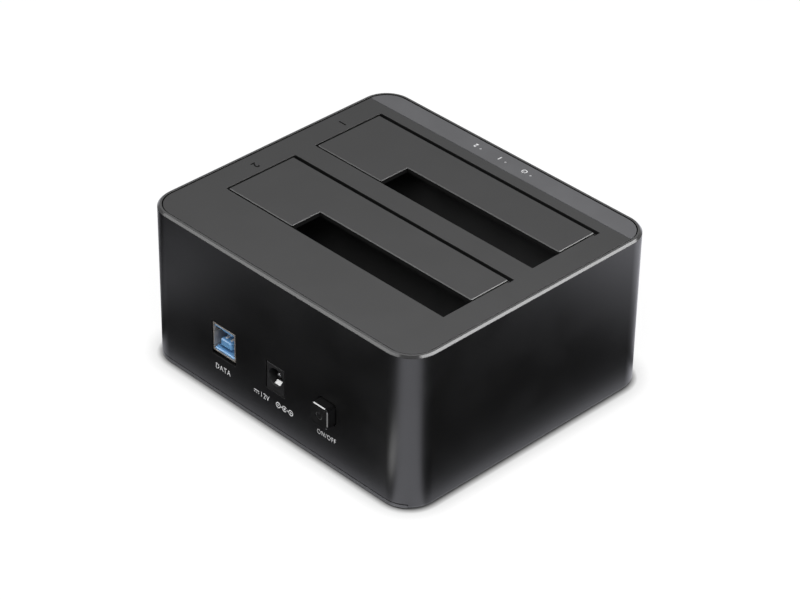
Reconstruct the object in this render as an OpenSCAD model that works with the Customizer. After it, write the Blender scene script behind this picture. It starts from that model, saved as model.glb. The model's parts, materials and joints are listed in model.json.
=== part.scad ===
// Two-bay hard drive docking station: an aluminium sleeve closed by a top plate with two spring flaps
// and by a base with rubber feet. Millimetres, +Z up, front towards -Y, origin on the desk below the
// middle of the housing.

/* [Housing] */
// Width of the housing, left to right
housing_w = 130; // [128:0.5:160]
// Depth of the housing, front to rear
housing_d = 115; // [110:0.5:140]
// Height of the aluminium sleeve
sleeve_h = 60; // [56:0.2:80]
// Outer radius of the four upright corners
corner_r = 11; // [9.5:0.5:14]
// Wall of the sleeve below its rim
sleeve_wall = 2.6; // [2.3:0.1:3]
// Wall of the sleeve beside the top plate
rim_wall = 1.6; // [1.2:0.1:1.8]
// Bright chamfer round the top of the sleeve
rim_chamfer = 0.8; // [0.3:0.1:1]

/* [Base and feet] */
// Edge of the base that shows below the sleeve
base_edge = 0.8; // [0.6:0.1:2]
// How far that edge lies inside the sleeve's outline
base_inset = 0.5; // [0.2:0.1:1]
// Thickness of the base inside the sleeve
base_spigot = 1.8; // [1.6:0.1:3]
// Gap between the base and the inside of the sleeve
base_gap = 0.2; // [0.1:0.05:0.4]
// Height of the base's rear lip above the bottom of the sleeve
lip_rise = 0.4; // [0.3:0.1:1]
// Gap between that lip and the rear wall above it
lip_gap = 0.4; // [0.2:0.05:0.6]
// Height of the feet below the base
foot_h = 0.6; // [0.5:0.1:3]
// Depth of the pockets that hold the feet
foot_pocket = 1; // [0.6:0.1:1.4]
// Diameter of the rubber feet
foot_d = 12; // [8:0.5:16]
// Distance of the feet from the sides of the housing
foot_inset = 19; // [16:0.5:24]

/* [Top plate] */
// Thickness of the top plate
plate_t = 3; // [2.6:0.1:4]
// Gap between the top plate and the sleeve
plate_gap = 0.35; // [0.2:0.05:0.5]
// Distance of the top plate below the top of the sleeve
plate_drop = 0.15; // [0:0.05:0.4]
// Depth of the indicator strip, front to rear
strip_d = 8.55; // [7.5:0.05:11]
// Thickness of the indicator strip
strip_t = 1.7; // [1.2:0.1:2]
// Gap between the indicator strip and the top plate
strip_gap = 0.15; // [0.05:0.05:0.3]
// Bar between the indicator strip and the front bay
front_bar = 4.7; // [3.5:0.1:8]
// Bar between the two bays
middle_bar = 9.3; // [8:0.1:14]
// Diameter of the corner pillars under the top plate
pillar_d = 7; // [6:0.2:8]

/* [Drive bays] */
// Length of each bay opening
bay_l = 105.4; // [103:0.2:106.4]
// Width of each bay opening
bay_w = 32.05; // [30:0.05:34]
// Length of the notch for the smaller drive
notch_l = 72.7; // [71:0.1:76]
// Width of the notch for the smaller drive
notch_w = 13.5; // [10:0.1:16]
// Wall of the drive wells
well_wall = 1.6; // [1.2:0.1:2]
// Floor of the drive wells
well_floor = 1.6; // [1.2:0.1:2.4]
// Gap between the top of the wells and the top plate
well_gap = 0.1; // [0.05:0.05:0.3]
// Thickness of the wells' screw ears
ear_t = 2; // [1.6:0.1:3]
// Length of the top plate's bosses above those ears
boss_h = 5; // [4:0.1:7]

/* [Flaps] */
// Thickness of the flaps
flap_t = 2; // [1.6:0.1:2.6]
// Gap at both ends of a flap
flap_end_gap = 0.7; // [0.4:0.05:1]
// Gap along the free edge of a flap
flap_tip_gap = 0.75; // [0.6:0.05:1.2]
// Gap along the hinge edge of a flap
flap_hinge_gap = 1.5; // [1.2:0.05:2]
// Distance of the hinge axis from the hinge edge of the bay opening
hinge_inset = 1.25; // [1.1:0.05:1.8]
// Radius of the flaps' knuckles
knuckle_r = 1.5; // [1.3:0.05:1.8]
// Length of the flaps' knuckles
knuckle_l = 6; // [5:0.2:8]
// Radius of the hinge pins
pin_r = 0.75; // [0.6:0.05:0.9]
// Running clearance round the hinge pins
pin_clearance = 0.05; // [0.02:0.01:0.1]
// Wire diameter of the flap springs
flap_spring_wire = 0.5; // [0.4:0.05:0.55]
// Number of turns in each flap spring
flap_spring_turns = 4; // [3:1:4]

/* [Boards] */
// Height of the main board's top above the bottom of the sleeve
board_rise = 15.2; // [14:0.2:18]
// Thickness of the main board
board_t = 1.6; // [1:0.1:2]
// Width of the main board
board_w = 100; // [96:1:104]
// Thickness of the indicator board
lamp_board_t = 1.2; // [0.8:0.1:1.6]
// Length of the indicator board
lamp_board_l = 44; // [40:1:60]
// Distance between the indicator lamps
lamp_pitch = 12.1; // [8:0.1:14]
// Diameter of the light posts that show in the strip
lamp_d = 0.9; // [0.6:0.05:1.4]

/* [Drive connectors] */
// Length of a drive connector
connector_l = 42; // [40:0.5:46]
// Width of a drive connector
connector_w = 6; // [5:0.1:7]
// Height of a drive connector above the board
connector_h = 9; // [8:0.1:11]
// How far a drive connector stands above the floor of its well
connector_stand = 2; // [1:0.1:3]
// Distance of a drive connector's middle from the left end of the bay
connector_x = 27.7; // [24:0.1:40]
// Distance of a drive connector's middle from the free edge of the bay
connector_inset = 4; // [3.8:0.1:8]
// Distance between neighbouring contacts
contact_pitch = 1.27; // [1:0.01:1.3]

/* [Data socket] */
// Place of the data socket along X
data_x = 25; // [20:0.5:30]
// Width of the data socket's shell
shell_w = 11.2; // [10:0.1:13]
// Height of the data socket's shell
shell_h = 11.4; // [10:0.1:13]
// Depth of the data socket's shell
shell_depth = 12.8; // [12:0.1:18]
// Thickness of the shell's metal
shell_t = 0.5; // [0.3:0.05:0.6]
// Height of the shell above the board
shell_stand = 1.4; // [1:0.1:2]

/* [Power jack] */
// Place of the power jack along X
jack_x = -0.9; // [-6:0.1:6]
// Width of the power jack
jack_w = 8.6; // [8.4:0.1:10]
// Height of the power jack above the board
jack_h = 10.7; // [10:0.1:12]
// Depth of the power jack
jack_depth = 12.9; // [11:0.1:15]
// Height of the jack's hole above the board
jack_rise = 6.2; // [5.6:0.1:6.4]
// Radius of the jack's hole
jack_r = 3.4; // [3:0.05:3.5]
// Radius of the jack's centre pin
jack_pin_r = 1.05; // [1:0.05:1.25]

/* [Power switch] */
// Place of the power button along X
button_x = -26.3; // [-32:0.1:-20]
// Height of the button's middle above the board
button_rise = 6; // [5.4:0.1:7]
// Width of the button
button_w = 8; // [7.6:0.1:9]
// Height of the button
button_h = 8.4; // [8:0.1:9]
// Radius of the button's corners
button_r = 1.5; // [0.5:0.1:2]
// How far the button stands out of the sleeve
button_out = 3.7; // [3:0.1:5]
// Travel of the button when it is pushed
button_travel = 2.2; // [1.5:0.1:2.6]
// Wire diameter of the button's spring
button_spring_wire = 0.5; // [0.4:0.05:0.55]
// Number of turns in the button's spring
button_spring_turns = 4; // [3:1:4]

/* [Screws and clearances] */
// Radius of the base screws
base_screw_r = 1.45; // [1.2:0.05:1.6]
// Radius of the small screws
small_screw_r = 1.1; // [0.9:0.05:1.2]
// Clearance round a screw in its thread
thread_gap = 0.05; // [0.02:0.01:0.1]
// Clearance round a screw in a plain hole
screw_gap = 0.3; // [0.2:0.05:0.5]
// Clearance between pieces that are fitted together
fit_gap = 0.1; // [0.05:0.05:0.2]
// Clearance round the pieces that show through the sleeve
cutout_gap = 0.4; // [0.3:0.05:0.6]
// Clearance beside pieces that move
run_gap = 0.3; // [0.2:0.05:0.4]

/* [Hidden] */
$fn = 64;

// Overrun of every cutter past the faces that it opens
cut = 1;

// Places of the housing's faces
sleeve_z = foot_h + base_edge;
sleeve_top = sleeve_z + sleeve_h;
rear_y = housing_d / 2;
inner_w = housing_w - 2 * sleeve_wall;
inner_d = housing_d - 2 * sleeve_wall;
inner_r = corner_r - sleeve_wall;
rim_w = housing_w - 2 * rim_wall;
rim_d = housing_d - 2 * rim_wall;
rim_r = corner_r - rim_wall;
base_top = sleeve_z + base_spigot;

// Rear lip of the base, which ends half way round the rear corners
lip_inset = 0.1;
lip_front = rear_y - corner_r * (1 - cos(45));

// Places on the top plate
plate_top = sleeve_top - plate_drop;
plate_z = plate_top - plate_t;
plate_w = rim_w - 2 * plate_gap;
plate_d = rim_d - 2 * plate_gap;
plate_r = rim_r - plate_gap;
strip_back = -plate_d / 2 + strip_d;
strip_z = plate_top - strip_t;
front_bay = strip_back + front_bar;
rear_bay = front_bay + bay_w + middle_bar;
bays = [rear_bay, front_bay];
pillar_margin = 2;
pillar_inset = pillar_d / 2 + pillar_margin;
pillar_x = inner_w / 2 - pillar_inset;
pillar_y = inner_d / 2 - pillar_inset;

// Hinge axes, level with the wells' rims and clear of the top plate
hinge_cover = 0.25;
hinge_room = 0.5;
hinge_z = plate_top - max(flap_t + knuckle_r + hinge_room, plate_t + pin_r + hinge_cover);
hinge_boss_wall = 1;
pin_slot_gap = 0.02;
pin_seat_l = 2.9;
side_room = (inner_w - bay_l) / 2 - hinge_boss_wall - run_gap;
pin_end = bay_l / 2 + min(pin_seat_l, side_room);
relief_l = 0.7;
relief_w = 2.7;

// Places along Y that follow from a bay's hinge edge
function hinge_y(bay) = bay + hinge_inset;
function well_hinge_wall(bay) = hinge_y(bay) - knuckle_r - run_gap;
function connector_y(bay) = bay + bay_w - connector_inset;

// Places of the boards, wells and sockets
board_top = sleeve_z + board_rise;
board_z = board_top - board_t;
well_z = board_top + connector_h - connector_stand - well_floor;
well_top = plate_z - well_gap;
well_x = bay_l / 2 + well_wall;
web_inset = 12;
web_x = bay_l / 2 - web_inset;
board_back_gap = 3;
board_front = well_hinge_wall(front_bay) - well_wall;
board_rear = rear_y - sleeve_wall - board_back_gap;
lamp_offset = -0.4;
lamps = [for (i = [-1:1]) lamp_offset + i * lamp_pitch];
lamp_y = strip_back - strip_d / 2;
lamp_hole_r = 1.6;
lamp_board_gap = 2;
lamp_board_top = plate_z - lamp_board_gap;
lamp_board_w = 6.2;

// Heads of the screws
base_head_r = 2 * base_screw_r;
base_head_t = 1.2;
small_head_r = 2 * small_screw_r;
small_head_t = 1.3;
head_gap = 0.25;

// Screws that hold the wells, in ears on the front of the front well and on the rear of the rear well
ear_w = 8;
ear_z = plate_z - boss_h - ear_t;
ear_reach = well_wall + small_head_r + run_gap;
ear_wall = [well_hinge_wall(front_bay), rear_bay + bay_w];
ears = [for (x = [-web_x, web_x]) each [[x, ear_wall[0] - ear_reach], [x, ear_wall[1] + ear_reach]]];

// Cross recesses of the screws
recess_share = 1.2;
recess_w = 0.6;
recess_depth = 0.6;

// Colours of the pieces
plate_grey = [0.33, 0.33, 0.34];
strip_grey = [0.41, 0.41, 0.42];
anodised_black = [0.11, 0.11, 0.12];
plastic_black = [0.06, 0.06, 0.06];
bare_metal = [0.72, 0.72, 0.73];
gilt = [0.83, 0.67, 0.33];
board_green = [0.05, 0.25, 0.14];
socket_blue = [0.16, 0.39, 0.72];

// Shapes that several pieces share

module rounded_rect(w, d, r) {
    square([w - 2 * r, d], center = true);
    square([w, d - 2 * r], center = true);
    for (x = [-1, 1], y = [-1, 1])
        translate([x * (w / 2 - r), y * (d / 2 - r)]) circle(r);
}

module rounded_slab(w, d, r, z, t) {
    translate([0, 0, z]) linear_extrude(t) rounded_rect(w, d, r);
}

// Slab whose outline draws in by c over its height c
module chamfer_slab(w, d, r, z, c) {
    translate([0, 0, z]) {
        for (x = [-1, 1], y = [-1, 1])
            translate([x * (w / 2 - r), y * (d / 2 - r), 0]) cylinder(h = c, r1 = r, r2 = r - c);
        translate([r - w / 2, 0, 0]) rotate([90, 0, 90])
            linear_extrude(w - 2 * r) polygon([[-d / 2, 0], [d / 2, 0], [d / 2 - c, c], [c - d / 2, c]]);
        translate([0, d / 2 - r, 0]) rotate([90, 0, 0])
            linear_extrude(d - 2 * r) polygon([[-w / 2, 0], [w / 2, 0], [w / 2 - c, c], [c - w / 2, c]]);
    }
}

// Box given by its lowest and highest corners
module span_box(low, high) {
    translate(low) cube(high - low);
}

module four_corners(x, y) {
    for (sx = [-1, 1], sy = [-1, 1]) translate([sx * x, sy * y, 0]) children();
}

// Cross-head screw whose head's underside lies at z = 0, with its shank towards +Z
module screw(r, head_r, head_t, shank) {
    difference() {
        union() {
            translate([0, 0, -head_t]) cylinder(h = head_t, r = head_r);
            cylinder(h = shank, r = r);
        }
        for (turn = [0, 90])
            rotate([0, 0, turn]) translate([-head_r * recess_share / 2, -recess_w / 2, -head_t])
                cube([head_r * recess_share, recess_w, recess_depth]);
    }
}

// Cylinder along X from x0 to x1
module x_rod(x0, x1, y, z, r) {
    translate([x0, y, z]) rotate([0, 90, 0]) cylinder(h = x1 - x0, r = r);
}

// Cylinder along Y from y0 to y1
module y_rod(x, y0, y1, z, r) {
    translate([x, y0, z]) rotate([-90, 0, 0]) cylinder(h = y1 - y0, r = r);
}

// Round wire swept along a list of points; ref stays clear of every direction of the wire
function unit(v) = v / norm(v);
function wire_dir(p, i) = unit(p[min(i + 1, len(p) - 1)] - p[max(i - 1, 0)]);
function wire_ring(p, i, r, sides, ref) =
    let (t = wire_dir(p, i), n = unit(ref - (ref * t) * t), b = cross(t, n))
    [for (k = [0:sides - 1]) p[i] + r * (cos(360 * k / sides) * n + sin(360 * k / sides) * b)];
function wire_gap(p, d, apart) =
    min([for (i = [0:len(p) - 1], j = [i + apart:1:len(p) - 1]) norm(p[i] - p[j])]) - d;

module wire(p, r, sides, ref) {
    last = len(p) - 1;
    skin = [for (i = [0:last - 1], k = [0:sides - 1])
        let (a = i * sides + k, b = i * sides + (k + 1) % sides)
        each [[a, a + sides, b + sides], [a, b + sides, b]]];
    caps = [for (k = [1:sides - 2])
        each [[0, k, k + 1], [last * sides, last * sides + k + 1, last * sides + k]]];
    rings = [for (i = [0:last]) each wire_ring(p, i, r, sides, ref)];
    polyhedron(points = rings, faces = concat(skin, caps));
}

// Housing

module sleeve_cutouts() {
    out = rear_y + cut;
    in = rear_y - sleeve_wall - cut;
    low = board_top - fit_gap;
    span_box([data_x - shell_w / 2 - cutout_gap, in, low],
        [data_x + shell_w / 2 + cutout_gap, out, board_top + shell_stand + shell_h + cutout_gap]);
    span_box([jack_x - jack_w / 2 - cutout_gap, in, low],
        [jack_x + jack_w / 2 + cutout_gap, out, board_top + jack_h + cutout_gap]);
    translate([button_x, in, board_top + button_rise]) rotate([-90, 0, 0])
        linear_extrude(out - in)
            rounded_rect(button_w + 2 * run_gap, button_h + 2 * run_gap, button_r + run_gap);
}

module housing_sleeve() {
    color(anodised_black) difference() {
        union() {
            rounded_slab(housing_w, housing_d, corner_r, sleeve_z, sleeve_h - rim_chamfer);
            chamfer_slab(housing_w, housing_d, corner_r, sleeve_top - rim_chamfer, rim_chamfer);
        }
        rounded_slab(inner_w, inner_d, inner_r, sleeve_z - cut, sleeve_h + 2 * cut);
        rounded_slab(rim_w, rim_d, rim_r, plate_z, plate_t + plate_drop + cut);
        span_box([-housing_w, lip_front, sleeve_z - cut],
            [housing_w, rear_y + cut, sleeve_z + lip_rise + lip_gap]);
        sleeve_cutouts();
    }
}

// Base, with a post under each of the main board's screws
post_r = 3;
post_hole = 6;
post_inset = 6;
post_x = board_w / 2 - post_inset;
posts = [for (x = [-post_x, post_x], y = [board_front + post_inset, board_rear - post_inset]) [x, y]];
head_seat = foot_h + base_head_t + fit_gap;
foot_x = housing_w / 2 - foot_inset;
foot_y = housing_d / 2 - foot_inset;
pillar_hole = 11;
screw_spare = 1;

module base_post(x, y) {
    translate([x, y, base_top]) difference() {
        cylinder(h = board_z - base_top, r = post_r);
        translate([0, 0, board_z - base_top - post_hole])
            cylinder(h = post_hole + cut, r = small_screw_r + thread_gap);
    }
}

module base_lip() {
    intersection() {
        rounded_slab(housing_w - 2 * lip_inset, housing_d - 2 * lip_inset, corner_r - lip_inset,
            foot_h, base_edge + lip_rise);
        span_box([-housing_w, lip_front + base_gap, foot_h - cut], [housing_w, rear_y + cut, base_top]);
    }
}

module base_plate() {
    color(plastic_black) union() {
        difference() {
            union() {
                base_lip();
                rounded_slab(housing_w - 2 * base_inset, housing_d - 2 * base_inset, corner_r - base_inset,
                    foot_h, base_edge);
                rounded_slab(inner_w - 2 * base_gap, inner_d - 2 * base_gap, inner_r - base_gap,
                    sleeve_z, base_spigot);
            }
            four_corners(foot_x, foot_y)
                translate([0, 0, foot_h - cut]) cylinder(h = foot_pocket + cut, r = foot_d / 2 + fit_gap);
            four_corners(pillar_x, pillar_y) {
                translate([0, 0, foot_h - cut])
                    cylinder(h = base_top - foot_h + 2 * cut, r = base_screw_r + screw_gap);
                translate([0, 0, foot_h - cut])
                    cylinder(h = head_seat - foot_h + cut, r = base_head_r + head_gap);
            }
        }
        for (p = posts) base_post(p[0], p[1]);
    }
}

module rubber_feet() {
    color(plastic_black) four_corners(foot_x, foot_y) cylinder(h = foot_h + foot_pocket, r = foot_d / 2);
}

module base_screws() {
    color(bare_metal) four_corners(pillar_x, pillar_y)
        translate([0, 0, head_seat])
            screw(base_screw_r, base_head_r, base_head_t, base_top - head_seat + pillar_hole - screw_spare);
}

// Top plate

module plate_outline() {
    rounded_rect(plate_w, plate_d, plate_r);
}

module bay_opening(y) {
    span_box([-bay_l / 2, y, plate_z - cut], [bay_l / 2, y + bay_w, plate_top + cut]);
    span_box([-bay_l / 2 - relief_l, y, plate_z - cut], [0, y + relief_w, plate_top + cut]);
}

boss_bite = 1;
ear_hole = boss_h + boss_bite;
lamp_boss_inset = 3;
lamp_boss_x = lamp_board_l / 2 - lamp_boss_inset;
lamp_screw_depth = lamp_board_gap + boss_bite;

module plate_bosses() {
    four_corners(pillar_x, pillar_y) difference() {
        translate([0, 0, base_top]) cylinder(h = plate_z - base_top, r = pillar_d / 2);
        translate([0, 0, base_top - cut]) cylinder(h = pillar_hole + cut, r = base_screw_r + thread_gap);
    }
    for (p = ears) translate([p[0], p[1], plate_z - boss_h]) cylinder(h = boss_h, r = small_head_r);
    for (x = [-lamp_boss_x, lamp_boss_x])
        translate([x, lamp_y, lamp_board_top]) cylinder(h = lamp_board_gap, r = small_head_r);
}

module boss_holes() {
    for (p = ears)
        translate([p[0], p[1], plate_z - boss_h - cut])
            cylinder(h = ear_hole + cut, r = small_screw_r + thread_gap);
    for (x = [-lamp_boss_x, lamp_boss_x])
        translate([x, lamp_y, lamp_board_top - cut])
            cylinder(h = lamp_screw_depth + cut, r = small_screw_r + thread_gap);
}

module top_plate() {
    color(plate_grey) difference() {
        union() {
            translate([0, 0, plate_z]) linear_extrude(plate_t) plate_outline();
            plate_bosses();
        }
        for (y = bays) bay_opening(y);
        span_box([-plate_w, -plate_d, strip_z], [plate_w, strip_back, plate_top + cut]);
        for (x = lamps)
            translate([x, lamp_y, plate_z - cut]) cylinder(h = plate_t + 2 * cut, r = lamp_hole_r);
        boss_holes();
    }
}

module indicator_strip() {
    color(strip_grey) difference() {
        translate([0, 0, strip_z]) linear_extrude(strip_t) intersection() {
            plate_outline();
            translate([-plate_w, -plate_d]) square([2 * plate_w, plate_d + strip_back - strip_gap]);
        }
        for (x = lamps)
            translate([x, lamp_y, strip_z - cut]) cylinder(h = strip_t + 2 * cut, r = lamp_d / 2 + fit_gap);
    }
}

// Drive wells

connector_mid = connector_x - bay_l / 2;
hinge_boss_y = pin_r + pin_slot_gap + hinge_boss_wall;

// Ear round the screw at p, from the wall of the well outwards
module well_ear(p) {
    front = p[1] < ear_wall[0];
    low = front ? p[1] - small_head_r : ear_wall[1] + well_wall / 2;
    high = front ? ear_wall[0] - well_wall / 2 : p[1] + small_head_r;
    span_box([p[0] - ear_w / 2, low, ear_z], [p[0] + ear_w / 2, high, ear_z + ear_t]);
}

module well_outside(bay) {
    boss_x = pin_end + hinge_boss_wall;
    span_box([-well_x, well_hinge_wall(bay) - well_wall, well_z],
        [well_x, bay + bay_w + well_wall, well_top]);
    span_box([-boss_x, hinge_y(bay) - hinge_boss_y, hinge_z - hinge_boss_y],
        [boss_x, hinge_y(bay) + hinge_boss_y, well_top]);
}

module well_inside(bay) {
    floor_top = well_z + well_floor;
    room = [connector_l / 2 + cutout_gap, connector_w / 2 + cutout_gap, 0];
    middle = [connector_mid, connector_y(bay), 0];
    slot_r = pin_r + pin_slot_gap;
    slot_end = pin_end + fit_gap;
    span_box([-bay_l / 2, well_hinge_wall(bay), floor_top], [bay_l / 2, bay + bay_w, well_top + cut]);
    span_box(middle - room + [0, 0, well_z - cut], middle + room + [0, 0, floor_top + cut]);
    x_rod(-slot_end, slot_end, hinge_y(bay), hinge_z, slot_r);
    span_box([-slot_end, hinge_y(bay) - slot_r, hinge_z],
        [slot_end, hinge_y(bay) + slot_r, well_top + cut]);
}

module bay_frame() {
    color(plastic_black) difference() {
        union() {
            for (bay = bays) well_outside(bay);
            for (p = ears) well_ear(p);
            span_box([-web_x, front_bay + bay_w, well_z],
                [web_x, well_hinge_wall(rear_bay), well_z + well_floor]);
        }
        for (bay = bays) well_inside(bay);
        for (p = ears)
            translate([p[0], p[1], ear_z - cut])
                cylinder(h = ear_t + 2 * cut, r = small_screw_r + screw_gap);
    }
}

module frame_screws() {
    color(bare_metal) for (p = ears)
        translate([p[0], p[1], ear_z])
            screw(small_screw_r, small_head_r, small_head_t, ear_t + ear_hole - boss_bite / 2);
}

// Flaps

flap_x = bay_l / 2 - flap_end_gap;
notch_x = notch_l - bay_l / 2;
heel_gap = 0.1;
heel_drop = 1.4;
spring_r = knuckle_r - flap_spring_wire / 2;
spring_pitch = 1;
spring_l = flap_spring_turns * spring_pitch;
spring_x = flap_x - spring_l - flap_spring_wire;
blind_end = 1;
spring_pad_y = 7;
spring_pad_w = 3;

// The knuckle near the spring stands further in, to leave the spring room on the same pin
knuckle_right = spring_x - flap_spring_wire - run_gap;
knuckles = [[-flap_x, -1], [knuckle_right - knuckle_l, 1]];

// The left bore opens to the left and the right one to the right; both are closed towards the middle
module knuckle_bore(k, y) {
    x0 = k[1] < 0 ? k[0] - cut : k[0] + blind_end;
    x1 = k[1] < 0 ? k[0] + knuckle_l - blind_end : k[0] + knuckle_l + cut;
    x_rod(x0, x1, y, hinge_z, pin_r + pin_clearance);
}

// Barrel, the web that carries it, and the heel that stops the flap level with the plate
module knuckle(x, bay) {
    y = hinge_y(bay);
    edge = bay + flap_hinge_gap;
    x_rod(x, x + knuckle_l, y, hinge_z, knuckle_r);
    span_box([x, edge, hinge_z], [x + knuckle_l, y + knuckle_r, plate_top - flap_t / 2]);
    span_box([x, bay + heel_gap, hinge_z], [x + knuckle_l, edge + flap_t / 2, plate_top - heel_drop]);
}

module flap(bay) {
    hinge_edge = bay + flap_hinge_gap;
    tip = bay + bay_w - flap_tip_gap;
    notch_y = bay + bay_w - notch_w;
    pad_y = hinge_y(bay) + spring_pad_y;
    difference() {
        union() {
            translate([0, 0, plate_top - flap_t]) linear_extrude(flap_t) polygon([
                [-flap_x, hinge_edge], [flap_x, hinge_edge], [flap_x, tip],
                [notch_x, tip], [notch_x, notch_y], [-flap_x, notch_y]
            ]);
            for (k = knuckles) knuckle(k[0], bay);
            span_box([spring_x, pad_y, hinge_z + knuckle_r + fit_gap],
                [spring_x + spring_pad_w, pad_y + spring_pad_w, plate_top - flap_t / 2]);
        }
        for (k = knuckles) knuckle_bore(k, hinge_y(bay));
    }
}

module rear_flap() {
    color(plate_grey) flap(rear_bay);
}

module front_flap() {
    color(plate_grey) flap(front_bay);
}

module hinge_pins(bay) {
    color(bare_metal) {
        x_rod(-pin_end, knuckles[0][0] + knuckle_l - blind_end - fit_gap, hinge_y(bay), hinge_z, pin_r);
        x_rod(knuckles[1][0] + blind_end + fit_gap, pin_end, hinge_y(bay), hinge_z, pin_r);
    }
}

module rear_hinge_pins() {
    hinge_pins(rear_bay);
}

module front_hinge_pins() {
    hinge_pins(front_bay);
}

// Torsion spring: one leg lies under the flap, the coil goes round the pin and the other leg hangs by the
// wall of the well
flap_leg = 10;
curl_rings = 12;
wire_sides = 6;
leg_steps = 3;
flap_coil_steps = flap_spring_turns * curl_rings + curl_rings / 4;
flap_spring_path = concat(
    [for (i = [0:leg_steps - 1]) [0, flap_leg * (1 - i / leg_steps), spring_r]],
    [for (i = [0:flap_coil_steps]) let (a = 90 + 360 * i / curl_rings)
        [spring_pitch * i / curl_rings, spring_r * cos(a), spring_r * sin(a)]],
    [for (i = [1:leg_steps])
        [spring_pitch * flap_coil_steps / curl_rings, -spring_r, -flap_leg * i / leg_steps]]);
echo(flap_spring_gap = wire_gap(flap_spring_path, flap_spring_wire, ceil(curl_rings / 2) + 1));

module flap_spring(bay) {
    color(bare_metal) translate([spring_x, hinge_y(bay), hinge_z])
        wire(flap_spring_path, flap_spring_wire / 2, wire_sides, [1, 0, 0]);
}

module rear_flap_spring() {
    flap_spring(rear_bay);
}

module front_flap_spring() {
    flap_spring(front_bay);
}

// Main board and drive connectors

module main_board() {
    color(board_green) difference() {
        span_box([-board_w / 2, board_front, board_z], [board_w / 2, board_rear, board_top]);
        for (p = posts)
            translate([p[0], p[1], board_z - cut])
                cylinder(h = board_t + 2 * cut, r = small_screw_r + screw_gap);
        four_corners(pillar_x, pillar_y)
            translate([0, 0, board_z - cut]) cylinder(h = board_t + 2 * cut, r = pillar_d / 2 + cutout_gap);
    }
}

module board_screws() {
    color(bare_metal) for (p = posts)
        translate([p[0], p[1], board_top]) mirror([0, 0, 1])
            screw(small_screw_r, small_head_r, small_head_t, board_t + post_hole - screw_spare);
}

signal_contacts = 7;
power_contacts = 15;
slot_w = 1.5;
slot_depth = 5.5;
slot_z = connector_h - slot_depth;
slot_spare = 2.8;
slot_bar = 2.4;
key_w = 1.2;
guide_l = 2.5;
guide_w = 3;
guide_h = 1.5;
signal_l = (signal_contacts - 1) * contact_pitch + slot_spare;
power_l = (power_contacts - 1) * contact_pitch + slot_spare;
signal_x = -(signal_l + slot_bar + power_l) / 2;
power_x = signal_x + signal_l + slot_bar;
slots = [[signal_x, signal_l, signal_contacts], [power_x, power_l, power_contacts]];

module at_connector(bay) {
    translate([connector_mid, connector_y(bay), board_top]) children();
}

module drive_connector(bay) {
    color(plastic_black) at_connector(bay) difference() {
        union() {
            translate([-connector_l / 2, -connector_w / 2, 0])
                cube([connector_l, connector_w, connector_h]);
            for (x = [-connector_l / 2, connector_l / 2 - guide_l])
                translate([x, -guide_w / 2, 0]) cube([guide_l, guide_w, connector_h + guide_h]);
        }
        for (s = slots) {
            span_box([s[0], -slot_w / 2, slot_z], [s[0] + s[1], slot_w / 2, connector_h + cut]);
            span_box([s[0], 0, slot_z], [s[0] + key_w, slot_w / 2 + key_w, connector_h + cut]);
        }
    }
}

contact_w = 0.7;
contact_t = 0.3;
contact_h = 4.6;

module connector_contacts(bay) {
    color(gilt) at_connector(bay) for (s = slots, i = [0:s[2] - 1])
        translate([s[0] + s[1] / 2 + (i - (s[2] - 1) / 2) * contact_pitch - contact_w / 2,
            -slot_w / 2, slot_z])
            cube([contact_w, contact_t, contact_h]);
}

module rear_drive_connector() {
    drive_connector(rear_bay);
}

module front_drive_connector() {
    drive_connector(front_bay);
}

module rear_connector_contacts() {
    connector_contacts(rear_bay);
}

module front_connector_contacts() {
    connector_contacts(front_bay);
}

// Data socket, drawn with x across, y into the socket from its mouth and z up from its shell

socket_recess = 0.2;
tongue_w = 5.4;
tongue_t = 2.8;
tongue_rise = 2.4;
tongue_back = 0.8;
upper_tongue_back = 1.6;
upper_tongue_t = 0.9;
upper_tongue_w = 5;
insulator_floor = 0.9;
insulator_back = 4;
key_corner = 2.2;
key_back = 1.8;
side_slot_w = 0.3;
side_slot_l = 7;
side_slots = [1.7, 7.6];
tongue_z = shell_t + tongue_rise;
upper_tongue_z = shell_h - shell_t - 2 * insulator_floor - upper_tongue_t;
tab_y = 6;
tab_l = 2.5;
insulator_foot_y = 5;
insulator_fit = 0.02;
foot_side = 1;
shell_in = shell_w / 2 - shell_t;

module at_data_socket() {
    translate([data_x, rear_y - socket_recess, board_top + shell_stand]) mirror([0, 1, 0]) children();
}

// Inside outline of the shell
module shell_mouth(gap) {
    translate([0, shell_h / 2]) square([2 * (shell_in - gap), shell_h - 2 * (shell_t + gap)], center = true);
}

// Wedges that bevel the upper corners of the mouth
module key_wedges() {
    w = shell_in - insulator_fit;
    top = shell_h - shell_t - insulator_fit;
    for (side = [0, 1])
        mirror([side, 0, 0]) polygon([[w, top], [w - key_corner, top], [w, top - key_corner]]);
}

module data_socket_shell() {
    color(bare_metal) at_data_socket() {
        difference() {
            span_box([-shell_w / 2, 0, 0], [shell_w / 2, shell_depth, shell_h]);
            translate([0, shell_depth - shell_t, 0]) rotate([90, 0, 0])
                linear_extrude(shell_depth) shell_mouth(0);
            span_box([foot_side - shell_in, insulator_foot_y, -cut],
                [shell_in - foot_side, shell_depth + cut, shell_t + cut]);
            for (z = side_slots) span_box([-shell_w, -cut, z], [shell_w, side_slot_l, z + side_slot_w]);
        }
        for (x = [-shell_w / 2, shell_w / 2 - shell_t])
            translate([x, tab_y, -shell_stand]) cube([shell_t, tab_l, shell_stand]);
    }
}

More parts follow.
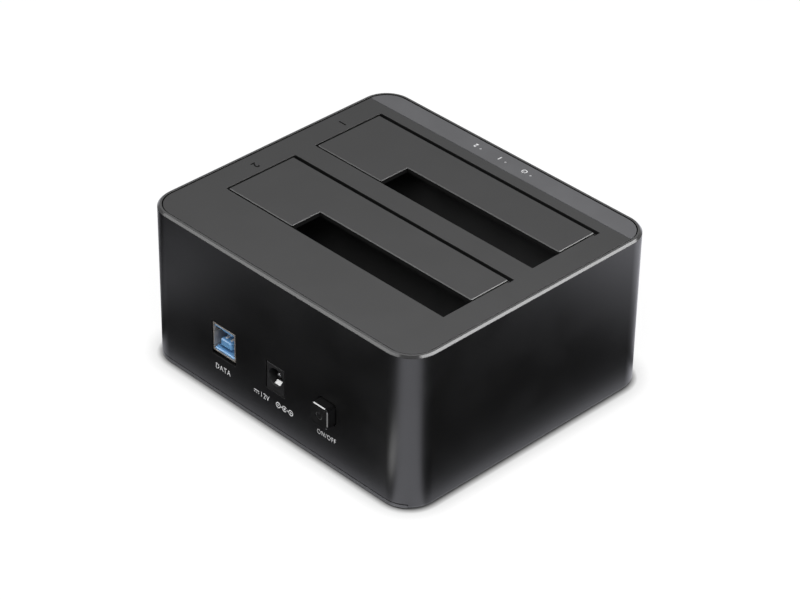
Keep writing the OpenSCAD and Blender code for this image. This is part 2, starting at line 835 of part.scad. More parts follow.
module data_socket_insulator() {
    foot_in = shell_in - foot_side - fit_gap;
    back = shell_depth - shell_t - insulator_fit;
    wall = back - insulator_back;
    color(socket_blue) at_data_socket() {
        intersection() {
            translate([0, back, 0]) rotate([90, 0, 0])
                linear_extrude(back - socket_recess) shell_mouth(insulator_fit);
            union() {
                span_box([-shell_in, 0, 0], [shell_in, back, shell_t + insulator_floor]);
                span_box([-shell_in, 0, shell_h - shell_t - insulator_floor], [shell_in, back, shell_h]);
                span_box([-shell_in, wall, 0], [shell_in, back, shell_h]);
            }
        }
        translate([0, back, 0]) rotate([90, 0, 0]) linear_extrude(back - key_back) key_wedges();
        span_box([-tongue_w / 2, tongue_back, tongue_z], [tongue_w / 2, wall, tongue_z + tongue_t]);
        span_box([-upper_tongue_w / 2, upper_tongue_back, upper_tongue_z],
            [upper_tongue_w / 2, wall, upper_tongue_z + upper_tongue_t]);
        span_box([-foot_in, insulator_foot_y + fit_gap, -shell_stand],
            [foot_in, back, shell_t + insulator_floor]);
    }
}

socket_contact_w = 1;
socket_contact_t = 0.2;
socket_contact_l = 6;
socket_contact_back = 0.4;
lower_contacts = [-1.25, 1.25];
upper_contact_w = 0.5;
upper_contact_pitch = 0.95;
upper_contacts = [-2:2];

module data_socket_contacts() {
    y = upper_tongue_back + socket_contact_back;
    color(gilt) at_data_socket() {
        for (x = lower_contacts, z = [tongue_z - socket_contact_t, tongue_z + tongue_t])
            translate([x - socket_contact_w / 2, y, z])
                cube([socket_contact_w, socket_contact_l, socket_contact_t]);
        for (i = upper_contacts)
            translate([i * upper_contact_pitch - upper_contact_w / 2, y, upper_tongue_z - socket_contact_t])
                cube([upper_contact_w, socket_contact_l, socket_contact_t]);
    }
}

// Power jack, drawn with x across, y into the jack from its mouth and z up from the board
jack_recess = 0.1;
jack_hole_depth = 9.5;
jack_pin_back = 1.2;
jack_shoulder = 0.5;
jack_root_r = jack_pin_r + jack_shoulder;
leaf_t = 0.3;
leaf_w = 2.6;
leaf_room = 0.85;
leaf_reach = 0.9;
leaf_front = 0.7;
leaf_bend = 2.3;
leaf_foot = 7.2;

module at_jack() {
    translate([jack_x, rear_y - jack_recess, board_top]) mirror([0, 1, 0]) children();
}

// Turns what is drawn beside the hole's axis, towards -X, so that it lies below the axis
module below_axis() {
    translate([0, 0, jack_rise]) rotate([0, -90, 0]) children();
}

module jack_housing() {
    color(plastic_black) at_jack() difference() {
        span_box([-jack_w / 2, 0, 0], [jack_w / 2, jack_depth, jack_h]);
        y_rod(0, -cut, jack_hole_depth, jack_rise, jack_r);
        y_rod(0, jack_hole_depth - cut, jack_depth + cut, jack_rise, jack_root_r + pin_slot_gap);
        below_axis() span_box([-jack_r - leaf_room, leaf_front - fit_gap, -leaf_w / 2 - fit_gap],
            [0, jack_hole_depth, leaf_w / 2 + fit_gap]);
    }
}

module jack_pin() {
    color(bare_metal) at_jack() {
        y_rod(0, jack_pin_back + jack_pin_r, jack_hole_depth, jack_rise, jack_pin_r);
        y_rod(0, jack_hole_depth, jack_depth, jack_rise, jack_root_r);
        translate([0, jack_pin_back + jack_pin_r, jack_rise]) sphere(jack_pin_r);
    }
}

// Leaf spring that lies in the bottom of the hole and bows towards the pin
module jack_spring() {
    outer = -jack_r - leaf_room + fit_gap;
    bow = -jack_r + leaf_reach;
    color(bare_metal) at_jack() below_axis() translate([0, 0, -leaf_w / 2]) linear_extrude(leaf_w) polygon([
        [outer, jack_hole_depth], [outer, leaf_foot], [bow, leaf_bend], [outer + leaf_t, leaf_front],
        [outer + 2 * leaf_t, leaf_front], [bow + leaf_t, leaf_bend], [outer + leaf_t, leaf_foot + leaf_t],
        [outer + leaf_t, jack_hole_depth]
    ]);
}

// Power switch, drawn with y from the button's face into the housing and z up from the button's middle

button_collar = 0.8;
collar_t = 1;
button_front = rear_y + button_out;
collar_front = button_out + sleeve_wall + run_gap;
button_back = collar_front + collar_t;
switch_front = button_back + button_travel + run_gap;
switch_depth = 6.6;
switch_w = 8.4;
switch_side = 4.1;
plunger_w = 3;
plunger_front = 2.2;
plunger_bite = 3.4;
plunger_back = switch_front + plunger_bite;
button_wall = 0.9;
spring_room = 0.2;
button_pocket_r = button_w / 2 - button_wall;
button_pocket = 3.4;
button_spring_r = button_pocket_r - button_spring_wire / 2 - spring_room;

module at_button() {
    translate([button_x, button_front, board_top + button_rise]) mirror([0, 1, 0]) children();
}

module power_button() {
    color(plastic_black) at_button() difference() {
        union() {
            rotate([-90, 0, 0]) linear_extrude(button_back) rounded_rect(button_w, button_h, button_r);
            translate([0, collar_front, 0]) rotate([-90, 0, 0]) linear_extrude(collar_t)
                rounded_rect(button_w + 2 * button_collar, button_h + 2 * button_collar, button_r);
        }
        y_rod(0, button_pocket, button_back + cut, 0, button_pocket_r);
        span_box([-plunger_w / 2 - fit_gap, plunger_front, -plunger_w / 2 - fit_gap],
            [plunger_w / 2 + fit_gap, button_back, plunger_w / 2 + fit_gap]);
    }
}

module switch_plunger() {
    color([0.85, 0.85, 0.82]) at_button()
        span_box([-plunger_w / 2, plunger_front, -plunger_w / 2],
            [plunger_w / 2, plunger_back, plunger_w / 2]);
}

module switch_body() {
    channel = plunger_w / 2 + run_gap;
    color(plastic_black) at_button() difference() {
        span_box([-switch_w / 2, switch_front, -button_rise],
            [switch_w / 2, switch_front + switch_depth, switch_side]);
        span_box([-channel, switch_front - cut, -channel],
            [channel, plunger_back + button_travel + run_gap, channel]);
    }
}

// Coil spring from the switch body's face to the bottom of the button's pocket, with its ends ground flat
coil_rings = 16;
button_coil_steps = button_spring_turns * coil_rings;
coil_front = button_pocket + (button_spring_wire + fit_gap) / 2;
coil_back = switch_front - (button_spring_wire + fit_gap) / 2;
button_spring_path = [for (i = [0:button_coil_steps]) let (a = 360 * i / coil_rings)
    [button_spring_r * cos(a), coil_front + (coil_back - coil_front) * i / button_coil_steps,
        button_spring_r * sin(a)]];
echo(button_spring_gap = wire_gap(button_spring_path, button_spring_wire, ceil(coil_rings / 2)));

module button_spring() {
    color(bare_metal) at_button() wire(button_spring_path, button_spring_wire / 2, wire_sides, [0, 1, 0]);
}

// Indicator lamps

lamp_base = 2;
lamp_base_h = 1.4;

module indicator_board() {
    color(board_green) difference() {
        span_box([-lamp_board_l / 2, lamp_y - lamp_board_w / 2, lamp_board_top - lamp_board_t],
            [lamp_board_l / 2, lamp_y + lamp_board_w / 2, lamp_board_top]);
        for (x = [-lamp_boss_x, lamp_boss_x])
            translate([x, lamp_y, lamp_board_top - lamp_board_t - cut])
                cylinder(h = lamp_board_t + 2 * cut, r = small_screw_r + screw_gap);
    }
}

module indicator_lamps() {
    color([0.75, 0.8, 0.9]) for (x = lamps) translate([x, lamp_y, lamp_board_top]) {
        translate([-lamp_base / 2, -lamp_base / 2, 0]) cube([lamp_base, lamp_base, lamp_base_h]);
        cylinder(h = plate_top - fit_gap - lamp_board_top, r = lamp_d / 2);
    }
}

module indicator_screws() {
    color(bare_metal) for (x = [-lamp_boss_x, lamp_boss_x])
        translate([x, lamp_y, lamp_board_top - lamp_board_t])
            screw(small_screw_r, small_head_r, small_head_t,
                lamp_board_t + lamp_screw_depth - boss_bite / 2);
}

// Flat ribbon from the indicator board down to its header on the main board
ribbon_w = 8;
ribbon_t = 0.6;
ribbon_x = 6;
ribbon_bend = 2.5;
header_l = 10;
header_w = 4;
header_h = 4;
ribbon_z = board_top + header_h / 2;
ribbon_top = lamp_board_top - lamp_board_t;

module indicator_ribbon() {
    mid = ribbon_bend + ribbon_t / 2;
    color([0.7, 0.7, 0.68]) translate([ribbon_x - ribbon_w / 2, lamp_y, ribbon_z]) rotate([90, 0, 90])
        linear_extrude(ribbon_w) {
            translate([-ribbon_t / 2, mid]) square([ribbon_t, ribbon_top - ribbon_z - mid]);
            translate([mid, mid]) intersection() {
                difference() {
                    circle(ribbon_bend + ribbon_t);
                    circle(ribbon_bend);
                }
                translate([-2 * mid, -2 * mid]) square(2 * mid);
            }
            translate([mid, -ribbon_t / 2]) square([board_front + fit_gap - lamp_y - mid, ribbon_t]);
        }
}

module ribbon_header() {
    color([0.9, 0.9, 0.86])
        span_box([ribbon_x - header_l / 2, board_front + fit_gap, board_top],
            [ribbon_x + header_l / 2, board_front + fit_gap + header_w, board_top + header_h]);
}

// Components on the main board, in the gaps between the sockets and under the wells
chip_w = 9;
chip_t = 1;
memory_w = 5;
memory_t = 1.5;
can_r = 4;
can_h = 5;
coil_w = 8;
coil_h = 5;
crystal_l = 11;
crystal_w = 4.5;
crystal_h = 3.5;
rear_row_inset = 5.5;
under_well_inset = 8;
rear_row = board_rear - rear_row_inset;
under_well = rear_bay + under_well_inset;
chip_x = 22;
part_step = 14;
jack_gap_left = (button_x + switch_w / 2 + jack_x - jack_w / 2) / 2;
jack_gap_right = (jack_x + jack_w / 2 + data_x - shell_w / 2) / 2;
socket_gap = (data_x + shell_w / 2 + post_x - small_head_r) / 2;

module board_block(x, y, w, d, h) {
    translate([x - w / 2, y - d / 2, board_top]) cube([w, d, h]);
}

module control_chips() {
    color(plastic_black) {
        board_block(chip_x, under_well, chip_w, chip_w, chip_t);
        board_block(chip_x, front_bay + bay_w / 2, chip_w, chip_w, chip_t);
        board_block(chip_x - part_step, under_well, memory_w, memory_w, memory_t);
    }
}

module capacitors() {
    color([0.2, 0.22, 0.3]) for (x = [jack_gap_right, socket_gap])
        translate([x, rear_row, board_top]) cylinder(h = can_h, r = can_r);
}

module inductor() {
    color([0.25, 0.25, 0.25]) board_block(jack_gap_left, rear_row, coil_w, coil_w, coil_h);
}

module crystal() {
    color(bare_metal) board_block(chip_x + part_step, under_well, crystal_w, crystal_l, crystal_h);
}

housing_sleeve();
top_plate();
indicator_strip();
bay_frame();
rear_flap();
front_flap();
rear_hinge_pins();
front_hinge_pins();
rear_flap_spring();
front_flap_spring();
base_plate();
rubber_feet();
base_screws();
frame_screws();
main_board();
board_screws();
rear_drive_connector();
front_drive_connector();
rear_connector_contacts();
front_connector_contacts();
data_socket_shell();
data_socket_insulator();
data_socket_contacts();
jack_housing();
jack_pin();
jack_spring();
switch_body();
switch_plunger();
power_button();
button_spring();
indicator_board();
indicator_lamps();
indicator_screws();
indicator_ribbon();
ribbon_header();
control_chips();
capacitors();
inductor();
crystal();
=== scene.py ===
# A two-bay hard drive docking station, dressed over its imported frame

import json
import math

import bmesh
import bpy
from mathutils import Matrix, Quaternion, Vector


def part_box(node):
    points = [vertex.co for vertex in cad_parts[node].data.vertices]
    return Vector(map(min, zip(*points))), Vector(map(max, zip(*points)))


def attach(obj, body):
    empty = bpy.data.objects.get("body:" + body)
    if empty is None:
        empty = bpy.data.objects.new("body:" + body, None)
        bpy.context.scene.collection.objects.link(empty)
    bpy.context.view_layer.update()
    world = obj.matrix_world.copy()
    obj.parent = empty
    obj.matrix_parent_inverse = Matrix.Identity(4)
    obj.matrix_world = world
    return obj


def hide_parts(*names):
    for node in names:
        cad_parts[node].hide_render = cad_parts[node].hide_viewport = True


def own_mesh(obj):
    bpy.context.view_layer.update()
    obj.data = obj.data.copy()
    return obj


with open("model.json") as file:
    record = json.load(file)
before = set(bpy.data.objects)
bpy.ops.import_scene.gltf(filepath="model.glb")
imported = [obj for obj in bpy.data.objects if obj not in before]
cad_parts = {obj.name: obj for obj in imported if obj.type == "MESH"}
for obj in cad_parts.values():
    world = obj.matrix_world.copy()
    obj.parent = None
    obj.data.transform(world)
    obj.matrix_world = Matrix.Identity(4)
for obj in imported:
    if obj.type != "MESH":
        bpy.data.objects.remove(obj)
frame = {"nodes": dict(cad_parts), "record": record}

nodes = frame["nodes"]
scene = bpy.context.scene
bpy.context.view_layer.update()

MM = 0.001

# Distances below which points merge, and the angle below which faces are one flat
MERGE = 1e-7
MARK_MERGE = 1e-5
FLAT = math.radians(0.4)

# Places and slots read from the frame
sleeve_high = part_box("housing_sleeve")[1]
plate_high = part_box("top_plate")[1]
strip_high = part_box("indicator_strip")[1]
button_low, button_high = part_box("power_button")
slot_of = {part["node"]: part["material_slot"] for part in frame["record"]["subparts"]}

# Sleeve: radius of its upright corners and height of the chamfer round its rim, in millimetres
corner_radius = 11.0
rim_chamfer = 0.82

# Widths of rounded edges and of single chamfers, in millimetres
sleeve_edge = 0.1
strip_edge = 0.12
flap_chamfer = 0.22
well_edge = 0.12
base_edge = 0.1
foot_edge = 0.35
shell_edge = 0.06
core_chamfer = 0.3
finger_edge = 0.07
jack_edge = 0.15
connector_edge = 0.12
screw_edge = 0.08
deck_edge = 0.15
cap_chamfer = 0.3

# Faces across a chamfer, a small rounding and a full rounding, and the turn from which an edge gets one
chamfer_steps = 1
small_steps = 2
full_steps = 3
edge_turn = math.radians(32.0)

# Turns from which an edge is shaded sharp
chamfered_sharp = math.radians(30.0)
rounded_sharp = math.radians(50.0)

# Bends of the jack's leaf: reach and least edge in millimetres, steps, and the turns of a bend in radians
leaf_bend = 1.2
leaf_bend_steps = 6
leaf_least_edge = 1.0
leaf_least_turn = 0.2
leaf_most_turn = 1.4

# Printed and sunk marks, sizes in millimetres
ink_lift = 0.03
ink_sink = 0.02
label_height = 2.1
label_stroke = 0.3
label_z = 12.1
data_label_x = 25.6
power_label_x = 0.0
direct_sign_shift = -8.6
voltage_shift = -4.2
polarity_shift = 5.4
polarity_radius = 1.0
switch_label_x = -26.0
switch_label_height = 1.85
strip_mark_y = -51.6
strip_mark_height = 2.1
strip_sign_x = -9.3
strip_sign_radius = 0.92
strip_sign_stroke = 0.32
first_mark_x = 2.6
second_mark_x = 14.3
bay_mark_x = 57.0
bay_mark_y = {"1": -27.5, "2": 13.8}
bay_mark_height = 3.4
bay_mark_depth = 0.3
cap_sign_radius = 1.35
cap_sign_stroke = 0.36
cap_sign_depth = 0.2
cutter_top = 1.0
number_bold = 0.03

# Letters: pitch and width as shares of the typeface's own
letter_pitch = 1.16
letter_width = 0.86

# Round strokes: sides of a dot, degrees in a step of an arc, and an arc's least steps
dot_sides = 32
arc_step = 9.0
arc_least_steps = 12

# Signs: gap of a broken ring in degrees, and shares of a sign's radius
ring_gap = 70.0
power_bar_rise = 0.78
power_bar_length = 0.95
polarity_pitch = 3.1
polarity_bar = 0.9
polarity_dot = 0.45

# Sign for direct current: half the gap between its lines, and its line and dashes, in millimetres
direct_rise = 0.45
direct_length = 2.6
dash_length = 0.6
dash_pitch = 1.0

# View of the photograph
view_turn = math.radians(225.317)
view_rise = math.radians(34.468)
view_roll = math.radians(0.985)
view_distance = 1021.6 * MM
view_lens = 133.9
view_sensor = 36.0
view_aim = Vector((-2.209, 0.876, 28.324)) * MM


# Shader node helpers

def add(tree, kind, inputs=None, **settings):
    """Adds a node, with its settings and its sockets' values or links."""
    node = tree.nodes.new(kind)
    for name, value in settings.items():
        setattr(node, name, value)
    for socket, value in (inputs or {}).items():
        if isinstance(value, bpy.types.NodeSocket):
            tree.links.new(value, node.inputs[socket])
        else:
            node.inputs[socket].default_value = value
    return node


def coords(tree):
    """The texture coordinates of a surface."""
    return add(tree, "ShaderNodeTexCoord").outputs


def split(tree, vector):
    """A vector's three parts."""
    return add(tree, "ShaderNodeSeparateXYZ", {0: vector}).outputs


def maths(tree, operation, *values):
    """A maths node's output."""
    return add(tree, "ShaderNodeMath", dict(enumerate(values)), operation=operation).outputs[0]


def vectors(tree, operation, *values):
    """A vector maths node's outputs."""
    return add(tree, "ShaderNodeVectorMath", dict(enumerate(values)), operation=operation).outputs


def ramp(tree, value, low, high, start=0.0, end=1.0):
    """A smooth step of a value from start to end."""
    inputs = {"Value": value, "From Min": low, "From Max": high, "To Min": start, "To Max": end}
    return add(tree, "ShaderNodeMapRange", inputs, interpolation_type="SMOOTHSTEP").outputs[0]


def over(tree, distance, from_mm, to_mm, start=0.0, end=1.0):
    """A smooth step over a distance, whose limits are in millimetres."""
    return ramp(tree, distance, from_mm * MM, to_mm * MM, start, end)


def spread(tree, value, limits):
    """A value from 0 to 1 spread smoothly between two limits."""
    return ramp(tree, value, 0.0, 1.0, *limits)


def blend(tree, factor, first, second):
    """A number between two numbers."""
    return add(tree, "ShaderNodeMix", {0: factor, 2: first, 3: second}).outputs[0]


def tint(tree, factor, first, second):
    """A colour between two colours."""
    return add(tree, "ShaderNodeMix", {0: factor, 6: first, 7: second}, data_type="RGBA").outputs[2]


def noise(tree, place, scale, detail):
    """A noise over a place."""
    return add(tree, "ShaderNodeTexNoise", {"Vector": place, "Scale": scale, "Detail": detail}).outputs[0]


def sky(tree, reach, samples):
    """The share of open sky over a surface, within a reach in millimetres."""
    return add(tree, "ShaderNodeAmbientOcclusion", {"Distance": reach * MM}, samples=samples).outputs["AO"]


# Effects that several finishes share

# Ranges of noise that are drawn apart, the turn of a rubbed edge as cosines, and the lines' scale
noise_spread = (0.3, 0.7)
break_spread = (0.35, 0.65)
rub_turn = (0.98, 0.85)
rub_samples = 6
drawn_scale = 9000.0


def new_group(name, inputs, outputs):
    """An empty shader group with named float sockets."""
    group = bpy.data.node_groups.new(name, "ShaderNodeTree")
    for socket, value in inputs.items():
        made = group.interface.new_socket(name=socket, in_out="INPUT", socket_type="NodeSocketFloat")
        made.default_value = value
    for socket in outputs:
        group.interface.new_socket(name=socket, in_out="OUTPUT", socket_type="NodeSocketFloat")
    return group, add(group, "NodeGroupInput").outputs, add(group, "NodeGroupOutput").inputs


def per_metre(group, size):
    """The noise scale for a size in millimetres."""
    return maths(group, "DIVIDE", 1.0 / MM, size)


def make_grain():
    """Fine moulded or blasted grain, and slow patches as from handling. Sizes are in millimetres."""
    group, given, result = new_group("surface_grain", {"Grain": 0.3, "Patch": 12.0}, ("Height", "Patches"))
    place = coords(group)["Object"]
    grain = noise(group, place, per_metre(group, given["Grain"]), detail=2.0)
    patch = noise(group, place, per_metre(group, given["Patch"]), detail=4.0)
    group.links.new(grain, result["Height"])
    group.links.new(ramp(group, patch, *noise_spread), result["Patches"])
    return group


def make_rub():
    """Rubbed edges: 1 where the surface turns within the reach, broken up by a fine noise."""
    group, given, result = new_group("edge_rub", {"Reach": 0.4, "Break": 1.5}, ("Rub",))
    reach = maths(group, "MULTIPLY", given["Reach"], MM)
    rounding = add(group, "ShaderNodeBevel", {"Radius": reach}, samples=rub_samples).outputs[0]
    plain = add(group, "ShaderNodeNewGeometry").outputs["Normal"]
    turn = ramp(group, vectors(group, "DOT_PRODUCT", rounding, plain)["Value"], *rub_turn)
    broken = noise(group, coords(group)["Object"], per_metre(group, given["Break"]), detail=3.0)
    group.links.new(maths(group, "MULTIPLY", turn, ramp(group, broken, *break_spread)), result["Rub"])
    return group


def make_drawn():
    """Fine lines of drawn or rolled metal. A share under 1 along an axis draws them out along it."""
    shares = {"Along X": 1.0, "Along Y": 1.0, "Along Z": 1.0}
    group, given, result = new_group("drawn_lines", shares, ("Lines",))
    stretch = add(group, "ShaderNodeCombineXYZ", {i: given[i] for i in range(3)}).outputs[0]
    turned = vectors(group, "MULTIPLY", coords(group)["Object"], stretch)["Vector"]
    group.links.new(noise(group, turned, drawn_scale, detail=3.0), result["Lines"])
    return group


def make_chamfer():
    """Chamfers and rounded edges: 1 where a surface faces none of the three axes."""
    group, given, result = new_group("chamfers", {"Start": 0.95, "End": 0.85}, ("Chamfer",))
    parts = split(group, vectors(group, "ABSOLUTE", coords(group)["Normal"])["Vector"])
    most = maths(group, "MAXIMUM", maths(group, "MAXIMUM", parts["X"], parts["Y"]), parts["Z"])
    group.links.new(ramp(group, most, given["Start"], given["End"]), result["Chamfer"])
    return group


surface_grain = make_grain()
edge_rub = make_rub()
drawn_lines = make_drawn()
chamfers = make_chamfer()


def use(tree, group, **inputs):
    """Places a shared effect in a material. A socket's name has _ for its spaces."""
    node = add(tree, "ShaderNodeGroup", node_tree=group)
    for socket, value in inputs.items():
        node.inputs[socket.replace("_", " ")].default_value = value
    return node.outputs


# Finishes: shades of the patches and rubbed edges, and steps of roughness

patch_shades = (0.93, 1.06)
rub_shade = 2.0
patch_dulling = (-0.03, 0.04)
chamfer_polish = 0.08
tarnish_shades = (0.86, 1.05)
drawn_dulling = (-0.06, 0.08)


def new_finish(name):
    """A material with a Principled shader, and its node tree."""
    material = bpy.data.materials.new(name)
    material.use_nodes = True
    tree = material.node_tree
    tree.nodes.clear()
    shader = add(tree, "ShaderNodeBsdfPrincipled")
    out = add(tree, "ShaderNodeOutputMaterial")
    tree.links.new(shader.outputs[0], out.inputs[0])
    return material, tree, shader


def rgba(red, green, blue):
    """An opaque colour."""
    return red, green, blue, 1.0


def shade(colour, factor):
    """A colour made lighter or darker, with its alpha."""
    return rgba(*(min(1.0, part * factor) for part in colour))


def shades(tree, factor, colour, limits):
    """A colour that varies between two shades."""
    low, high = limits
    return tint(tree, factor, shade(colour, low), shade(colour, high))


def about(roughness, steps):
    """A roughness with a step below it and a step above it."""
    return tuple(roughness + step for step in steps)


def paint(tree, shader, colour, roughness):
    """Feeds a colour and a roughness to the shader."""
    tree.links.new(colour, shader.inputs["Base Color"])
    tree.links.new(roughness, shader.inputs["Roughness"])


def bumped(tree, shader, height, depth):
    """Feeds a height, whose full step is a depth in millimetres, to the shader's normal."""
    bump = add(tree, "ShaderNodeBump", {"Strength": 1.0, "Distance": depth * MM, "Height": height})
    tree.links.new(bump.outputs[0], shader.inputs["Normal"])


def moulded(name, colour, roughness, specular=0.45, grain=0.3, depth=0.006, rub=0.2):
    """Moulded plastic, rubber or lacquer: grain, handling patches, rubbed edges and smoother chamfers."""
    material, tree, shader = new_finish(name)
    surface = use(tree, surface_grain, Grain=grain, Patch=14.0)
    worn = use(tree, edge_rub, Reach=0.35, Break=1.8)["Rub"]
    even = shades(tree, surface["Patches"], colour, patch_shades)
    rubbed = tint(tree, maths(tree, "MULTIPLY", worn, rub), even, shade(colour, rub_shade))
    matt = spread(tree, surface["Patches"], about(roughness, patch_dulling))
    turned = maths(tree, "MAXIMUM", worn, use(tree, chamfers)["Chamfer"])
    polish = maths(tree, "MULTIPLY", turned, chamfer_polish)
    paint(tree, shader, rubbed, maths(tree, "SUBTRACT", matt, polish))
    shader.inputs["Specular IOR Level"].default_value = specular
    bumped(tree, shader, surface["Height"], depth)
    return material


def ink(name, colour, roughness, specular=0.3):
    """Printing ink, which keeps its edges."""
    return moulded(name, colour, roughness, specular, grain=0.2, depth=0.004, rub=0.0)


def rolled(name, colour, roughness, depth=0.001, metal=1.0, **shares):
    """Bare or plated metal with drawn lines and patches of tarnish."""
    material, tree, shader = new_finish(name)
    patches = use(tree, surface_grain, Grain=0.2, Patch=3.0)["Patches"]
    drawn = use(tree, drawn_lines, **shares)["Lines"]
    dull = ramp(tree, drawn, *noise_spread, *about(roughness, drawn_dulling))
    paint(tree, shader, shades(tree, patches, colour, tarnish_shades), dull)
    shader.inputs["Metallic"].default_value = metal
    bumped(tree, shader, drawn, depth)
    return material


def anodised():
    """Blasted and black anodised aluminium, with the rim's chamfer cut bright afterwards, and the rim's
    flat top coloured lighter than the chamfer as painted light.
    """
    rim_foot = sleeve_high.z / MM - rim_chamfer
    rim_blur = 0.03
    chamfer_lean = (0.25, 0.45)
    level_lean = (0.85, 0.95)
    cut_roughness = 0.2
    material, tree, shader = new_finish("sleeve_black")
    surface = use(tree, surface_grain, Grain=0.12, Patch=18.0)
    place = coords(tree)
    height = split(tree, place["Object"])["Z"]
    lean = split(tree, place["Normal"])["Z"]
    above = over(tree, height, rim_foot - rim_blur, rim_foot + rim_blur)
    cut = maths(tree, "MULTIPLY", above, ramp(tree, lean, *chamfer_lean))
    black = tint(tree, surface["Patches"], rgba(0.005, 0.005, 0.005), rgba(0.0062, 0.0062, 0.0063))
    # Painted light: the cut rim's flat top is coloured lighter than its chamfer, by how far each faces up.
    level = ramp(tree, lean, *level_lean)
    cut_and_painted_light = tint(tree, level, rgba(0.022, 0.022, 0.0225), rgba(0.05, 0.05, 0.051))
    blasted = spread(tree, surface["Patches"], limits=(0.36, 0.41))
    paint(tree, shader, tint(tree, cut, black, cut_and_painted_light), blend(tree, cut, blasted, cut_roughness))
    shader.inputs["Specular IOR Level"].default_value = 0.5
    bumped(tree, shader, surface["Height"], depth=0.004)
    return material


def deck_grey():
    """Satin grey moulding with painted shade in its gaps and on upright walls, and smooth on its small
    chamfers.
    """
    gap_reach = 2.0
    gap_samples = 8
    gap_light = (0.3, 0.65)
    wall_lean = (0.1, 0.6)
    chamfer_roughness = 0.22
    material, tree, shader = new_finish("deck_grey")
    surface = use(tree, surface_grain, Grain=0.35, Patch=14.0)
    chamfer = use(tree, chamfers)["Chamfer"]
    lean = maths(tree, "ABSOLUTE", split(tree, coords(tree)["Normal"])["Z"])
    # Painted shade: the grey turns nearly black in gaps, found by ambient occlusion, and on upright walls.
    light = ramp(tree, sky(tree, gap_reach, gap_samples), *gap_light)
    free_of_painted_shade = maths(tree, "MULTIPLY", light, ramp(tree, lean, *wall_lean))
    grey = tint(tree, surface["Patches"], rgba(0.0395, 0.0395, 0.04), rgba(0.043, 0.043, 0.0436))
    colour = tint(tree, free_of_painted_shade, rgba(0.006, 0.006, 0.006), grey)
    satin = spread(tree, surface["Patches"], limits=(0.495, 0.515))
    paint(tree, shader, colour, blend(tree, chamfer, satin, chamfer_roughness))
    shader.inputs["Specular IOR Level"].default_value = 0.35
    bumped(tree, shader, surface["Height"], depth=0.01)
    return material


def button_gloss():
    """Black moulding of the button: a satin face, sides coloured darker as painted shade, and polished
    chamfers.
    """
    face_lean = (0.5, 0.9)
    chamfer_roughness = 0.12
    material, tree, shader = new_finish("cap_gloss")
    surface = use(tree, surface_grain, Grain=0.3, Patch=4.0)
    chamfer = use(tree, chamfers)["Chamfer"]
    face = ramp(tree, split(tree, coords(tree)["Normal"])["Y"], *face_lean)
    satin = tint(tree, surface["Patches"], rgba(0.013, 0.013, 0.0132), rgba(0.015, 0.015, 0.0152))
    matt = spread(tree, surface["Patches"], limits=(0.37, 0.44))
    # Painted shade: every side but the face is coloured darker.
    colour = tint(tree, face, rgba(0.004, 0.004, 0.0041), satin)
    paint(tree, shader, colour, blend(tree, chamfer, matt, chamfer_roughness))
    tree.links.new(chamfer, shader.inputs["Coat Weight"])
    shader.inputs["Specular IOR Level"].default_value = 0.15
    bumped(tree, shader, surface["Height"], depth=0.002)
    return material


def ribbon():
    """Grey flat cable whose cores show as ribs along its run."""
    material, tree, shader = new_finish("ribbon_cable")
    patches = use(tree, surface_grain, Grain=0.3, Patch=6.0)["Patches"]
    waves = {"Vector": coords(tree)["Object"], "Scale": 300.0}
    ribs = add(tree, "ShaderNodeTexWave", waves, bands_direction="X").outputs[0]
    colour = tint(tree, ribs, rgba(0.2, 0.2, 0.2), rgba(0.36, 0.36, 0.36))
    paint(tree, shader, colour, spread(tree, patches, limits=(0.45, 0.55)))
    bumped(tree, shader, ribs, depth=0.08)
    return material


def circuit():
    """Green lacquer over copper tracks."""
    material, tree, shader = new_finish("circuit_lacquer")
    patches = use(tree, surface_grain, Grain=0.15, Patch=5.0)["Patches"]
    bricks = {"Vector": coords(tree)["Object"], "Scale": 180.0, "Mortar Size": 0.03}
    tracks = add(tree, "ShaderNodeTexBrick", bricks).outputs[1]
    lacquer = tint(tree, patches, rgba(0.01, 0.075, 0.03), rgba(0.014, 0.1, 0.04))
    colour = tint(tree, tracks, lacquer, rgba(0.03, 0.16, 0.07))
    paint(tree, shader, colour, spread(tree, patches, limits=(0.25, 0.35)))
    bumped(tree, shader, tracks, depth=0.03)
    return material


def lens():
    """Clear lamp lens, dark while unlit."""
    material, tree, shader = new_finish("lamp_lens")
    patches = use(tree, surface_grain, Grain=0.1, Patch=1.0)["Patches"]
    colour = tint(tree, patches, rgba(0.36, 0.36, 0.37), rgba(0.44, 0.44, 0.45))
    paint(tree, shader, colour, spread(tree, patches, limits=(0.1, 0.16)))
    return material


